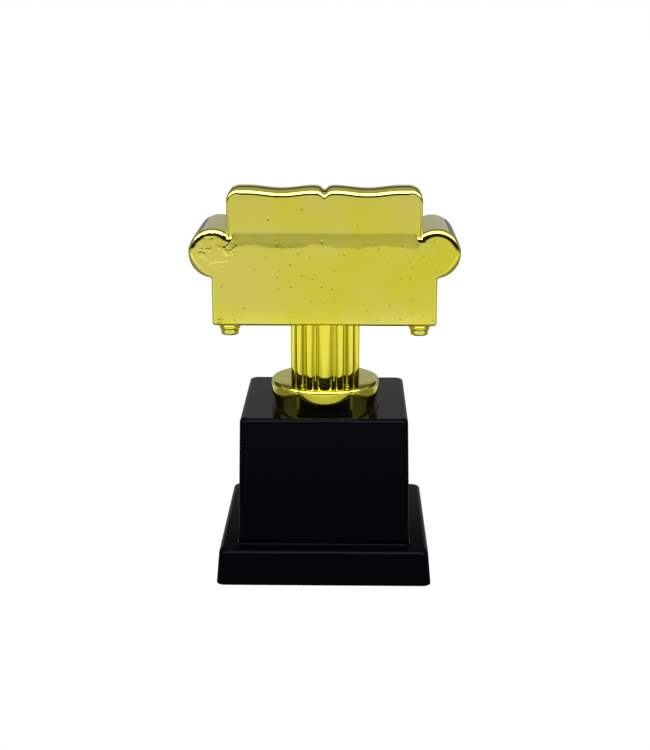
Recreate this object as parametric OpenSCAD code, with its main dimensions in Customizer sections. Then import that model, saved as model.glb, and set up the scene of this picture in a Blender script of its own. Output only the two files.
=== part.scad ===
// Figure trophy: a gold two-seat sofa on a fluted column and a petalled foot,
// clamped by one M6 tie rod to a black two-step plinth.
// Origin: centre of the underside. +Z is up, -Y is the side the sofa faces.

/* [Plinth] */
// Width of the plinth at the table
base_w = 70; // [66:1:80]
// Width of the upper block where it leaves the step
block_w = 56.2; // [50:0.1:60]
// Height of the step
step_h = 12; // [8:0.5:16]
// Height of the whole plinth
base_h = 54.5; // [48:0.5:64]
// Wall of the plinth moulding
base_wall = 2.2; // [1.6:0.1:3]

/* [Foot and column] */
// Radius of the foot where it stands on the plinth
foot_r = 18.3; // [16:0.1:22]
// Height of the foot
foot_h = 7.3; // [5:0.1:9]
// Number of petals round the foot
petals = 6; // [5:1:8]
// Radius of the column over the arrises between its flutes
column_r = 11.6; // [10.8:0.1:13]
// Length of the column that shows
column_h = 21.2; // [14:0.1:34]

/* [Sofa] */
// Width of the sofa body below the rolled arms
sofa_w = 72.6; // [68:0.1:80]
// Depth of the sofa from front to back
sofa_d = 34; // [32:0.5:40]
// Height of the sofa from its underside to the crests of its back
sofa_h = 45; // [42:0.5:50]
// Radius of the rolled arms
arm_roll_r = 7.85; // [6.5:0.05:8]
// Height of the middle of an arm's roll above the underside
arm_roll_h = 23.65; // [22:0.05:25]
// Width of the raised back
back_w = 62.2; // [58:0.2:64]
// Thickness of the raised back
back_t = 10; // [9:0.5:11]
// Wall of the sofa mouldings
sofa_wall = 2; // [1.6:0.1:2.4]

/* [Fasteners] */
// Thread diameter of the tie rod
rod_d = 6; // [5:1:6]
// Radial clearance round the rod in moulded holes
rod_gap = 0.1; // [0.05:0.05:0.5]

/* [Hidden] */

$fn = 64;
eps = 0.01;

// Plinth
draft = 0.85;              // how far each storey leans in over its height
step_corner = 2.4;         // radius of the step's upright corners
block_corner = 1.9;        // radius of the block's upright corners
edge_r = 1.2;              // round along the top edges
rim_gap = 0.3;             // the moulding's rim stays this far off the table
pad_t = 1;
cover_t = 1.6;
cover_gap = 0.3;
base_half = base_w / 2;
block_half = block_w / 2;
boss_r = 7;                // boss round the rod under the plinth's top
boss_len = 14;
rib_t = 1.6;
rib_h = 10;
rest_w = 5;                // corner blocks that the cover lies against
ballast_w = 46;
ballast_t = 8;
ballast_hole_r = 12;       // lets a socket reach the nut

// Foot and column
column_z = base_h + foot_h;
sofa_z = column_z + column_h;
bore_r = rod_d / 2 + rod_gap;
petal_bulge = 0.9;         // how far a petal's middle stands proud of its ends
cusp_lip_h = 5.3;          // height of the petals' lip where two of them meet
petal_droop = 3.0;         // how much lower a petal's lip hangs in the middle
column_bore_r = 7.8;
hub_r = column_bore_r - 0.2;
hub_h = 2;
flute_depth = 2.3;
flute_land = 0.35;         // flat left between two flutes
wide_flute = 30.6;         // angle of the flutes at the middle of the front and back
flute_step = 23;           // angle of the six other flutes of each half

// Sofa
sofa_half = sofa_w / 2;
arm_roll_x = sofa_half - 0.45;
arm_t = 7;                 // thickness of an arm's panel below its roll
back_half = back_w / 2;
back_dip = 0.85;           // sag of the back's top edge between two crests
notch_depth = 1.35;        // notch between the two halves of the back
notch_half = 2.9;
notch_soft = 0.4;
back_corner = 4.5;
crest_x = back_half - back_corner - 2;
shoulder_h = 30.2;         // height of the crease across the back cover
shoulder_step = 0.4;       // the body stands this far behind the raised back
cover_plate_t = 3;
rear_y = sofa_d / 2;
shell_rear_y = rear_y - cover_plate_t;
front_y = -sofa_d / 2;
rail_front_y = front_y + 1.5;
rail_h = 9.5;
body_corner = 1.2;
peg_r = 1.2;
peg_len = 4;
peg_gap = 0.05;
peg_x = 22;
peg_heights = [14, 36];

// Cushions
cushion_gap = 0.3;
cushion_r = 2.2;
seat_cushion_t = 8.2;
back_cushion_t = 6;
back_cushion_drop = 3;     // the back's crest stands this far above the cushions
cushion_half = arm_roll_x - arm_roll_r;

// Sofa feet
bun_h = 3.5;
bun_r = 3.5;
bun_x = 30.9;
bun_y = sofa_d / 2 - 4;
bun_peg_r = 0.9;
bun_peg_h = 1.5;
bun_peg_in = 0.9;          // how far a foot's peg stands towards the sofa's middle

// Fasteners
nut_across = rod_d == 6 ? 10 : 8;
nut_t = rod_d == 6 ? 5 : 4;
thread_gap = 0.05;
washer_r = 9;
washer_t = 1.6;
spring_r = rod_d;
spring_t = 1.5;
spring_split = 1.2;
boss_z = base_h - base_wall - boss_len;
washer_z = boss_z - washer_t;
spring_z = washer_z - spring_t;
base_nut_z = spring_z - nut_t;
rod_end = 3;               // rod showing below the nut
captive_z = sofa_z + 3.5;
rod_z = base_nut_z - rod_end;
rod_top = captive_z + nut_t;

gold = [0.83, 0.72, 0.2];
black = [0.05, 0.05, 0.06];
steel = [0.68, 0.69, 0.71];

// ---- Helpers ----

// A round prism standing on z_low
module post(r, z_low, z_high) {
    translate([0, 0, z_low]) cylinder(r = r, h = z_high - z_low);
}

// A box with upright corners of radius corner, drafted sides and a rounded top edge
module drafted_box(half_low, half_high, z_low, z_high, corner, edge) {
    hull() {
        for (sx = [-1, 1], sy = [-1, 1]) {
            translate([sx * (half_low - corner), sy * (half_low - corner), z_low])
                cylinder(r = corner, h = eps, $fn = 32);
            translate([sx * (half_high - corner), sy * (half_high - corner), z_high - edge])
                rotate_extrude($fn = 32) intersection() {
                    translate([corner - edge, 0]) circle(r = edge, $fn = 32);
                    square([corner, edge]);
                }
            translate([sx * (half_high - corner), sy * (half_high - corner), z_high - eps])
                cylinder(r = corner - edge, h = eps, $fn = 32);
        }
    }
}

// Carries a shape drawn across the sofa, in X and Z, from y_front to y_rear
module along_y(y_front, y_rear) {
    translate([0, y_rear, 0]) rotate([90, 0, 0])
        linear_extrude(height = y_rear - y_front) children();
}

// A hexagonal prism measured across its flats
module hex_prism(across, z_low, z_high) {
    translate([0, 0, z_low])
        cylinder(r = across / 2 / cos(30), h = z_high - z_low, $fn = 6);
}

module both_sides() {
    children();
    mirror([1, 0, 0]) children();
}

// ---- Plinth ----

module base_outside() {
    drafted_box(base_half, base_half - draft, rim_gap, step_h, step_corner, edge_r);
    drafted_box(block_half, block_half - draft, step_h - 1, base_h, block_corner, edge_r);
}

module base_cavity() {
    step_in = base_half - base_wall;
    block_in = block_half - base_wall;
    drafted_box(step_in, step_in - draft, rim_gap - eps, step_h - base_wall,
        step_corner - 1, eps * 10);
    drafted_box(block_in, block_in - draft, step_h - base_wall - 1, base_h - base_wall,
        block_corner - 1, eps * 10);
}

module cover_rests() {
    rest_at = base_half - base_wall - draft - rest_w / 2;
    rest_z = pad_t + cover_t;
    for (sx = [-1, 1], sy = [-1, 1])
        translate([sx * rest_at - rest_w / 2, sy * rest_at - rest_w / 2, rest_z])
            cube([rest_w, rest_w, step_h - base_wall - rest_z + 0.5]);
}

module boss_and_ribs() {
    post(boss_r, boss_z, base_h - base_wall / 2);
    reach = block_half - draft - base_wall / 2;
    for (turn = [0, 90]) rotate([0, 0, turn])
        translate([-reach, -rib_t / 2, base_h - base_wall - rib_h])
            cube([2 * reach, rib_t, rib_h + base_wall / 2]);
}

module base_shell() {
    color(black) difference() {
        union() {
            difference() {
                base_outside();
                base_cavity();
            }
            boss_and_ribs();
            cover_rests();
        }
        post(bore_r, boss_z - 1, base_h + 1);
    }
}

module ballast_block() {
    color("dimgray") difference() {
        translate([-ballast_w / 2, -ballast_w / 2, pad_t + cover_t])
            cube([ballast_w, ballast_w, ballast_t]);
        post(ballast_hole_r, pad_t + cover_t - 1, pad_t + cover_t + ballast_t + 1);
    }
}

// A square sheet with rounded corners
module sheet_plate(half, corner, z_low, thick) {
    translate([0, 0, z_low]) linear_extrude(height = thick) union() {
        square([2 * half, 2 * (half - corner)], center = true);
        square([2 * (half - corner), 2 * half], center = true);
        for (sx = [-1, 1], sy = [-1, 1])
            translate([sx * (half - corner), sy * (half - corner)]) circle(r = corner);
    }
}

module bottom_cover() {
    color([0.2, 0.17, 0.13])
        sheet_plate(base_half - base_wall - cover_gap - 0.2, 2, pad_t, cover_t);
}

module foam_pad() {
    color([0.08, 0.09, 0.09])
        sheet_plate(base_half - base_wall - cover_gap - 1.2, 2, 0, pad_t);
}

// ---- Tie rod and its fasteners ----

module tie_rod() {
    color(steel) post(rod_d / 2, rod_z, rod_top);
}

module base_washer() {
    color(steel) difference() {
        post(washer_r, washer_z, washer_z + washer_t);
        post(rod_d / 2 + 0.2, washer_z - 1, washer_z + washer_t + 1);
    }
}

module spring_washer() {
    color(steel) difference() {
        post(spring_r, spring_z, spring_z + spring_t);
        post(rod_d / 2 + 0.1, spring_z - 1, spring_z + spring_t + 1);
        translate([0, -spring_split / 2, spring_z - 1])
            cube([spring_r + 1, spring_split, spring_t + 2]);
    }
}

module hex_nut(z_low) {
    color(steel) difference() {
        hex_prism(nut_across, z_low, z_low + nut_t);
        post(rod_d / 2 + thread_gap, z_low - 1, z_low + nut_t + 1);
    }
}

module base_nut() {
    hex_nut(base_nut_z);
}

module captive_nut() {
    hex_nut(captive_z);
}

// ---- Foot and column ----

// 1 in the middle of a petal and 0 in the groove between two petals
function petal_wave(angle) = pow(abs(sin(petals / 2 * angle)), 0.7);

// Section through the petal ring at one angle, from the inside bottom round to the inside top
function petal_section(angle) =
    let (w = petal_wave(angle), lip_z = base_h + cusp_lip_h - petal_droop * w,
        lip_r = foot_r - 0.5 + petal_bulge * w, top_z = base_h + foot_h)
    [[10, base_h], [foot_r, base_h], [foot_r - 0.1, base_h + 0.5], [foot_r - 0.8, base_h + 1.9],
     [foot_r - 0.7, lip_z - 0.2], [lip_r - 0.1, lip_z], [lip_r + 0.25, lip_z + 0.4],
     [lip_r + 0.3, (lip_z + top_z) / 2], [lip_r + 0.2, top_z - 1], [lip_r - 0.4, top_z - 0.25],
     [lip_r - 1.4, top_z - 0.05 * (1 - w)], [lip_r - 3, top_z - 0.2 + 0.2 * w],
     [column_r + 0.8, top_z - 0.05], [10, top_z - 0.05]];

module petal_ring() {
    turns = 72;
    rings = [for (i = [0 : turns - 1]) petal_section(i * 360 / turns)];
    n = len(rings[0]);
    points = [for (i = [0 : turns - 1]) let (a = i * 360 / turns)
        for (p = rings[i]) [p[0] * cos(a), p[0] * sin(a), p[1]]];
    faces = [for (i = [0 : turns - 1]) for (k = [0 : n - 1])
        let (j = (i + 1) % turns, m = (k + 1) % n)
        for (tri = [[i * n + k, i * n + m, j * n + m], [i * n + k, j * n + m, j * n + k]]) tri];
    polyhedron(points = points, faces = faces);
}

module foot_rosette() {
    color(gold) difference() {
        union() {
            petal_ring();
            post(column_r + 0.4, base_h, column_z);
            post(hub_r, base_h, column_z + hub_h);
        }
        post(bore_r, base_h - 1, column_z + hub_h + 1);
    }
}

// One flute, cut by a cylinder that spans angle less the land on each side
module flute(middle, angle) {
    half_chord = column_r * sin(angle / 2) - flute_land / 2;
    sag = column_r * (1 - cos(angle / 2));
    depth = flute_depth * min(1, angle / flute_step) - sag;
    cut_r = (half_chord * half_chord + depth * depth) / (2 * depth);
    rotate([0, 0, middle])
        translate([column_r * cos(angle / 2) - depth + cut_r, 0]) circle(r = cut_r);
}

module column_section() {
    difference() {
        circle(r = column_r, $fn = 128);
        circle(r = column_bore_r);
        for (side = [-90, 90]) {
            flute(side, wide_flute);
            for (sign = [-1, 1], k = [0 : 2])
                flute(side + sign * (wide_flute / 2 + (k + 0.5) * flute_step), flute_step);
        }
    }
}

module fluted_column() {
    color(gold) translate([0, 0, column_z])
        linear_extrude(height = column_h) column_section();
}

// ---- Sofa ----

// Height of the back's top edge above the sofa's underside
function back_edge(x) =
    let (a = abs(x), span = sqrt(pow(notch_half, 2) + pow(notch_soft, 2)) - notch_soft)
    a < notch_half
        ? sofa_h - notch_depth * (1 - (sqrt(a * a + pow(notch_soft, 2)) - notch_soft) / span)
        : a < crest_x
            ? sofa_h - back_dip * (1 - cos(360 * (a - notch_half) / (crest_x - notch_half))) / 2
            : sofa_h;

// The raised back, drawn across the sofa, taken in by inset all round
module back_outline(inset, bottom) {
    corner = back_corner - min(inset, 2);
    edge_x = back_half - inset;
    straight = edge_x - corner;
    right = [for (a = [0 : 10 : 80])
        [straight + corner * cos(a), sofa_h - inset - corner + corner * sin(a)]];
    top = [for (k = [-40 : 40]) let (x = -k * straight / 40) [x, back_edge(x) - inset]];
    left = [for (a = [100 : 10 : 180])
        [-straight + corner * cos(a), sofa_h - inset - corner + corner * sin(a)]];
    translate([0, sofa_z])
        polygon(concat([[edge_x, bottom]], right, top, left, [[-edge_x, bottom]]));
}

// One arm, drawn across the sofa, taken in by inset all round
module arm_outline(inset) {
    translate([arm_roll_x, sofa_z + arm_roll_h]) circle(r = arm_roll_r - inset, $fn = 96);
    translate([sofa_half - arm_t + inset, sofa_z + inset])
        square([arm_t - 2 * inset, arm_roll_h - inset]);
}

module body_outline() {
    both_sides() arm_outline(0);
    translate([-sofa_half, sofa_z + body_corner])
        square([sofa_w, shoulder_h - body_corner]);
    translate([-sofa_half + body_corner, sofa_z])
        square([sofa_w - 2 * body_corner, shoulder_h]);
    both_sides() translate([sofa_half - body_corner, sofa_z + body_corner])
        circle(r = body_corner);
}

module sofa_outside() {
    along_y(front_y, shell_rear_y) both_sides() arm_outline(0);
    along_y(rail_front_y, shell_rear_y) translate([-sofa_half + arm_t / 2, sofa_z])
        square([sofa_w - arm_t, rail_h]);
    along_y(rear_y - back_t, shell_rear_y) back_outline(0, 0);
}

module sofa_cavities() {
    open_y = shell_rear_y + 1;
    along_y(front_y + sofa_wall, open_y) both_sides() arm_outline(sofa_wall);
    along_y(rail_front_y + sofa_wall, open_y)
        translate([-sofa_half + arm_t + sofa_wall, sofa_z + sofa_wall])
            square([sofa_w - 2 * (arm_t + sofa_wall), rail_h - 2 * sofa_wall]);
    along_y(rear_y - back_t + sofa_wall, open_y)
        intersection() {
            back_outline(sofa_wall, rail_h);
            translate([-cushion_half + sofa_wall, sofa_z])
                square([2 * (cushion_half - sofa_wall), sofa_h]);
        }
}

module cover_pegs(r, y_front, y_rear) {
    for (x = [-peg_x, peg_x], h = peg_heights)
        translate([x, y_rear, sofa_z + h]) rotate([90, 0, 0])
            cylinder(r = r, h = y_rear - y_front);
}

module sofa_body() {
    color(gold) difference() {
        union() {
            difference() {
                sofa_outside();
                sofa_cavities();
            }
            post(column_bore_r + 1, sofa_z, sofa_z + rail_h);
            post(hub_r, sofa_z - hub_h, sofa_z + rail_h);
            cover_pegs(peg_r + 1.4, rear_y - back_t + 1, shell_rear_y);
        }
        post(bore_r, sofa_z - hub_h - 1, captive_z + 1);
        hex_prism(nut_across + 0.3, captive_z - 0.1, sofa_z + rail_h + 1);
        cover_pegs(peg_r + peg_gap, shell_rear_y - peg_len - 0.4, shell_rear_y + 1);
        both_sides() for (y = [bun_peg_in - bun_y, bun_y - bun_peg_in])
            translate([bun_x, y, 0])
                post(bun_peg_r + peg_gap, sofa_z - 1, sofa_z + bun_peg_h + 0.1);
    }
}

module sofa_back_cover() {
    color(gold) {
        along_y(shell_rear_y, rear_y) body_outline();
        along_y(shell_rear_y, rear_y - shoulder_step) back_outline(0, shoulder_h - 2);
        cover_pegs(peg_r, shell_rear_y - peg_len, shell_rear_y + 0.5);
    }
}

// A cushion moulding: a box from low to high with every edge and corner round
module cushion(low, high) {
    r = cushion_r;
    size = high - low;
    core = [size[0] - 2 * r, size[1] - 2 * r, size[2] - 2 * r];
    translate(low) {
        translate([0, r, r]) cube([size[0], core[1], core[2]]);
        translate([r, 0, r]) cube([core[0], size[1], core[2]]);
        translate([r, r, 0]) cube([core[0], core[1], size[2]]);
        for (u = [r, size[0] - r], v = [r, size[1] - r])
            translate([u, v, r]) cylinder(r = r, h = core[2]);
        for (u = [r, size[0] - r], w = [r, size[2] - r])
            translate([u, r, w]) rotate([-90, 0, 0]) cylinder(r = r, h = core[1]);
        for (v = [r, size[1] - r], w = [r, size[2] - r])
            translate([r, v, w]) rotate([0, 90, 0]) cylinder(r = r, h = core[0]);
        for (u = [r, size[0] - r], v = [r, size[1] - r], w = [r, size[2] - r])
            translate([u, v, w]) sphere(r = r);
    }
}

module seat_cushion(side) {
    cushion_z = sofa_z + rail_h;
    inner = cushion_gap / 2;
    outer = cushion_half - cushion_gap;
    color(gold) cushion(
        [side > 0 ? inner : -outer, front_y + 0.3, cushion_z],
        [side > 0 ? outer : -inner, rear_y - back_t, cushion_z + seat_cushion_t]);
}

module back_cushion(side) {
    cushion_z = sofa_z + rail_h + seat_cushion_t;
    inner = cushion_gap / 2;
    outer = cushion_half - cushion_gap;
    color(gold) cushion(
        [side > 0 ? inner : -outer, rear_y - back_t - back_cushion_t, cushion_z],
        [side > 0 ? outer : -inner, rear_y - back_t, sofa_z + sofa_h - back_cushion_drop]);
}

module seat_cushion_left() { seat_cushion(-1); }
module seat_cushion_right() { seat_cushion(1); }
module back_cushion_left() { back_cushion(-1); }
module back_cushion_right() { back_cushion(1); }

// A turned bun foot with the peg that holds it in the sofa's underside
module bun_foot(side, y) {
    color(gold) translate([side * bun_x, y, sofa_z]) {
        rotate_extrude() polygon([[0, 0], [bun_r * 0.8, 0], [bun_r * 0.8, -0.6],
            for (a = [60 : -15 : -60])
                [bun_r * 0.6 + bun_r * 0.4 * cos(a), -bun_h * 0.58 + bun_h * 0.4 * sin(a)],
            [bun_r * 0.7, -bun_h], [0, -bun_h]]);
        translate([0, -sign(y) * bun_peg_in]) post(bun_peg_r, -0.5, bun_peg_h);
    }
}

module front_foot_left() { bun_foot(-1, -bun_y); }
module front_foot_right() { bun_foot(1, -bun_y); }
module rear_foot_left() { bun_foot(-1, bun_y); }
module rear_foot_right() { bun_foot(1, bun_y); }

// ---- Nodes ----

base_shell();
ballast_block();
bottom_cover();
foam_pad();
tie_rod();
base_washer();
spring_washer();
base_nut();
captive_nut();
foot_rosette();
fluted_column();
sofa_body();
sofa_back_cover();
seat_cushion_left();
seat_cushion_right();
back_cushion_left();
back_cushion_right();
front_foot_left();
front_foot_right();
rear_foot_left();
rear_foot_right();
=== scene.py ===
# %% [markdown]
# # A figure trophy
# A small gold sofa stands on a fluted column and a petalled foot, which one tie rod clamps
# to a black two-step plinth. The packed model gives every part its place and size. This
# lesson makes the pieces that are seen, each as a surface worked out with numpy, and gives
# each one a finish made of shader nodes.

# %% Load the frame and note its box
import math

import bmesh
import bpy
import numpy as np
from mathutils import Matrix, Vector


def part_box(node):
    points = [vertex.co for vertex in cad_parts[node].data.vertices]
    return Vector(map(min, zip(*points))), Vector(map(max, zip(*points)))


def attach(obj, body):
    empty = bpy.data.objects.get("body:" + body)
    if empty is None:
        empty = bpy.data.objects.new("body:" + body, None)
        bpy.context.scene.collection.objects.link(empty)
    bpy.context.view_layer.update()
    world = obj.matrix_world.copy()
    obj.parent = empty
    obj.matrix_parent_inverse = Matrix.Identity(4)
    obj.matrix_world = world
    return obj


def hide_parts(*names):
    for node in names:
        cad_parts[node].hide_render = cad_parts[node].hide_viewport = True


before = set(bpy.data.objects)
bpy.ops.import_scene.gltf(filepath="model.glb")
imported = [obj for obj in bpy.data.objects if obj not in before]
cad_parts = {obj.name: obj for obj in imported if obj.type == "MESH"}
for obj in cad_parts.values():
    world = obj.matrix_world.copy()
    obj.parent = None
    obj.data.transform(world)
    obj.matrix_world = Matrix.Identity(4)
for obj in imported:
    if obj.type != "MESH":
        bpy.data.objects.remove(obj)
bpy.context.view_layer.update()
MM = 0.001


# %% [markdown]
# ## Tools for surfaces
# Every shape here is a grid: rows of points, with a quad between each four neighbours.
# Such shapes could also be modelled by hand from primitives and modifiers, but a formula
# hits a measure exactly, and numpy works a whole grid out at once. One function turns grids
# into a mesh. Where two grids share a border, their points lie in the same places, so
# merging doubles closes the seam and makes one watertight skin.

# %% From arrays to a mesh
def grid_faces(rows, cols, close_rows=False, close_cols=False):
    """Quads between neighbours on a grid whose points are numbered row by row."""
    r = np.arange(rows if close_rows else rows - 1)[:, None]
    c = np.arange(cols if close_cols else cols - 1)[None, :]
    r2, c2 = (r + 1) % rows, (c + 1) % cols
    corners = [r * cols + c, r * cols + c2, r2 * cols + c2, r2 * cols + c]
    return np.stack(np.broadcast_arrays(*corners), -1).reshape(-1, 4)


def sheet(points, **closed):
    """A (rows, cols, 3) array of points as one sheet: its flat list of points, and its quads."""
    rows, cols = points.shape[:2]
    return points.reshape(-1, 3), grid_faces(rows, cols, **closed)


def make_piece(name, sheets, body, material, replaces=(), sharp=38):
    """Joins sheets, in millimetres, into one closed mesh in metres, and hangs it on a body.

    Edges that turn by more than `sharp` degrees stay crisp, and the rest are shaded smooth.
    """
    points, faces, count = [], [], 0
    for sheet_points, sheet_faces in sheets:
        points.append(sheet_points)
        faces.append(sheet_faces + count)
        count += len(sheet_points)
    mesh = bpy.data.meshes.new(name)
    mesh.from_pydata(np.concatenate(points) * MM, [], np.concatenate(faces).tolist())
    work = bmesh.new()
    work.from_mesh(mesh)
    bmesh.ops.remove_doubles(work, verts=work.verts, dist=0.001 * MM)
    bmesh.ops.recalc_face_normals(work, faces=work.faces)
    work.to_mesh(mesh)
    work.free()
    mesh.shade_smooth()
    mesh.set_sharp_from_angle(angle=math.radians(sharp))
    piece = bpy.data.objects.new(name, mesh)
    bpy.context.scene.collection.objects.link(piece)
    mesh.materials.append(material)
    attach(piece, body)
    if replaces:
        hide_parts(*replaces)
    print(f"{name}: {len(mesh.polygons)} faces")
    return piece


def box_mm(node):
    """A node's lowest and highest corners, in millimetres."""
    low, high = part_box(node)
    return np.array(low) / MM, np.array(high) / MM


print("a closed strip of 3 x 8 points has", len(grid_faces(3, 8, close_cols=True)), "quads")


# %% [markdown]
# ## Paths
# An outline is a row of points in a plane, put together from arcs and straight runs as a
# draughtsman would. The sofa is the same on both sides, so its outlines are worked out for
# the left half only and mirrored. That is quicker to check than a whole outline, and the
# two halves can't differ.

# %% Arcs, chains and mirrored halves
def arc(centre, radius, start, stop, count):
    """Points round a circle from one angle to another, in degrees, ends included."""
    turn = np.radians(np.linspace(start, stop, count))
    return np.array(centre) + radius * np.stack([np.cos(turn), np.sin(turn)], 1)


def chain(*runs):
    """One path from runs that each start where the one before it ends."""
    return np.concatenate([runs[0]] + [run[1:] for run in runs[1:]])


def both_halves(half, flip=(-1.0, 1.0)):
    """A path from the left end to the middle, carried on as its mirror image to the right."""
    return np.concatenate([half, half[-2::-1] * (flip if half.ndim == 2 else 1.0)])


def inward(loop):
    """Unit normals of an anticlockwise loop: the chord between a point's neighbours, turned left."""
    chord = np.roll(loop, -1, 0) - np.roll(loop, 1, 0)
    chord /= np.linalg.norm(chord, axis=1)[:, None]
    return np.stack([-chord[:, 1], chord[:, 0]], 1)


def ease(x):
    """0 below 0, 1 above 1, and a smooth step between."""
    x = np.clip(x, 0.0, 1.0)
    return x * x * (3.0 - 2.0 * x)


print("a quarter circle in 5 points:", arc((0.0, 0.0), 1.0, 0.0, 90.0, 5).round(2).tolist())


# %% [markdown]
# ## Plates with rolled edges
# The sofa's panels and arms are plates: an outline drawn across the sofa, carried from
# front to rear, with its edges rounded over. A Bevel modifier could round them, but here
# the radius has to change along the edge, from wide on the rolls to almost nothing at the
# crease, so the rings of the round are worked out one by one. The outline is two paths with
# the same number of points, one along the bottom and one along the top. Straight rulings
# from path to path fill each face.

# %% The rings of a rounded edge
EDGE_STEPS = 19
GUARD = 0.06


def around(lower, upper):
    """One anticlockwise loop from values along the lower path and along the upper path."""
    return np.concatenate([lower, upper[-2:0:-1]])


def edge_rings(edge):
    """How far an edge's rings lie inside the outline and short of the face.

    The edge turns by an angle a from the wall to the face. Its radius is `side` at first,
    and `face` over the last `span` degrees; a plain edge has both alike. With b = 90 - span
    the inset is side * (1 - cos a) up to b, and grows with face * (cos b - cos a) after
    that. A guard ring close by on the wall and on the face keeps the smooth shading of the
    edge from spreading over them.
    """
    edge = np.asarray(edge, float)
    face, side, span = edge.T if edge.ndim == 2 else (edge, edge, np.full(len(edge), 45.0))
    turn = np.radians(np.linspace(0.0, 90.0, EDGE_STEPS))[:, None]
    b = np.radians(90.0 - span)
    first, last = np.minimum(turn, b), np.maximum(turn, b)
    inset = side * (1.0 - np.cos(first)) + face * (np.cos(b) - np.cos(last))
    short = side * (np.sin(b) - np.sin(first)) + face * (1.0 - np.sin(last))
    inset = np.concatenate([inset[:1], inset, inset[-1:] + GUARD])
    short = np.concatenate([short[:1] + GUARD, short, short[-1:]])
    return inset, short


print("an edge of 1 mm ends", edge_rings(np.ones(1))[0][-1].round(2), "mm inside the outline")


# %% The plate
def plate(lower, upper, y_front, y_rear, front_edge, rear_edge, rulings=None, into=None):
    """Sheets of a plate in the X-Z plane, closed front and rear.

    `front_edge` and `rear_edge` hold the edge's radius at every point of the loop, or two
    radii and a span, as edge_rings says. `rulings` are the fractions at which the
    faces are crossed, and `into` holds the inward directions where they aren't the
    outline's normals.
    """
    loop = around(lower, upper)
    normal = inward(loop) if into is None else into
    rings = []
    for y_face, edge, sign in ((y_front, front_edge, 1.0), (y_rear, rear_edge, -1.0)):
        inset, short = edge_rings(np.full(len(loop), edge) if np.isscalar(edge) else edge)
        flat = loop[None] + normal[None] * inset[..., None]
        rings.append(np.stack([flat[..., 0], y_face + sign * short, flat[..., 1]], -1))
    wall = np.concatenate([rings[0][::-1], rings[1]])
    sheets = [sheet(wall, close_cols=True)]
    steps = np.linspace(0.0, 1.0, 9) if rulings is None else rulings
    for ring in (wall[0], wall[-1]):
        low, high = ring[:len(lower)], np.concatenate([ring[:1], ring[:len(lower) - 2:-1]])
        face = low[None] + (high - low)[None] * steps[:, None, None]
        sheets.append(sheet(face))
    return sheets


def fade(start, stop, count):
    """Edge radii that change evenly along a run of an outline."""
    return np.linspace(start, stop, count)


# %% [markdown]
# ## Shader maths as plain expressions
# A material could be wired by hand in the node editor, but its maths is easiest to read
# when it is written as maths. This small class wraps a node's output socket, so that
# `noise * 0.5 + 0.1` adds the Math nodes it needs. A second class adds every other node.

# %% Sockets with operators
class Value:
    """A socket that carries a number, with the arithmetic that the materials use."""

    def __init__(self, shader, socket):
        self.shader, self.socket = shader, socket

    def math(self, operation, *others):
        return self.shader.node("ShaderNodeMath", {"operation": operation}, [self, *others])

    def __add__(self, other):
        return self.math("ADD", other)

    def __sub__(self, other):
        return self.math("SUBTRACT", other)

    def __rsub__(self, other):
        return self.shader.node("ShaderNodeMath", {"operation": "SUBTRACT"}, [other, self])

    def __mul__(self, other):
        return self.math("MULTIPLY", other)

    def __truediv__(self, other):
        return self.math("DIVIDE", other)

    def __pow__(self, other):
        return self.math("POWER", other)

    __radd__, __rmul__ = __add__, __mul__

    def between(self, low, high):
        """0 at `low`, 1 at `high`, and a smooth step between."""
        settings = {"interpolation_type": "SMOOTHSTEP"}
        return self.shader.node("ShaderNodeMapRange", settings, {0: self, 1: low, 2: high})


# %% A node tree with one method for any node
class Shader:
    """A node tree being built, with one method that adds any node."""

    def __init__(self, owner, output):
        owner.use_nodes = True
        self.tree = owner.node_tree
        self.tree.nodes.clear()
        self.output = self.tree.nodes.new(output)

    def node(self, kind, settings=None, inputs=(), out=0):
        """Adds a node: its settings first, then the values or links of its sockets."""
        node = self.tree.nodes.new(kind)
        for name, value in (settings or {}).items():
            if name == "stops":
                self.set_stops(node.color_ramp, value)
            else:
                setattr(node, name, value)
        items = inputs.items() if isinstance(inputs, dict) else enumerate(inputs)
        for key, value in items:
            if isinstance(value, Value):
                self.tree.links.new(value.socket, node.inputs[key])
            else:
                node.inputs[key].default_value = value
        return Value(self, node.outputs[out])

    def set_stops(self, ramp, stops):
        """Sets a ramp's (position, grey or colour) stops."""
        while len(ramp.elements) < len(stops):
            ramp.elements.new(1.0)
        for element, (place, shade) in zip(ramp.elements, stops):
            element.position = place
            rgb = (shade,) * 3 if np.isscalar(shade) else shade
            element.color = (*rgb, 1.0)

    def finish(self, surface):
        self.tree.links.new(surface.socket, self.output.inputs["Surface"])

    def place(self):
        """Object coordinates, in metres, as a vector."""
        return self.node("ShaderNodeTexCoord", out="Object")

    def axes(self, vector):
        """A vector's X, Y and Z as three values."""
        split = self.node("ShaderNodeSeparateXYZ", None, [vector]).socket.node
        return [Value(self, out) for out in split.outputs]

    def noise(self, where, scale, detail=2.0, roughness=0.5, distortion=0.0):
        return self.node("ShaderNodeTexNoise", None, {
            "Vector": where, "Scale": scale, "Detail": detail,
            "Roughness": roughness, "Distortion": distortion})

    def bump(self, height, strength, distance, normal=None):
        """A Bump node: `distance` is the height in metres that a value of 1 stands for."""
        inputs = {"Strength": strength, "Distance": distance, "Height": height}
        if normal is not None:
            inputs["Normal"] = normal
        return self.node("ShaderNodeBump", None, inputs)


def new_material(name):
    """An empty material and the Shader that builds its tree."""
    material = bpy.data.materials.new(name)
    return material, Shader(material, "ShaderNodeOutputMaterial")


def mixed(s, factor, one, other):
    """A colour between two colours."""
    inputs = {"Factor": factor, 6: one, 7: other}
    return s.node("ShaderNodeMix", {"data_type": "RGBA"}, inputs, out=2)


print("Value has", len([name for name in vars(Value) if name.startswith("__")]), "operators")


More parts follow.
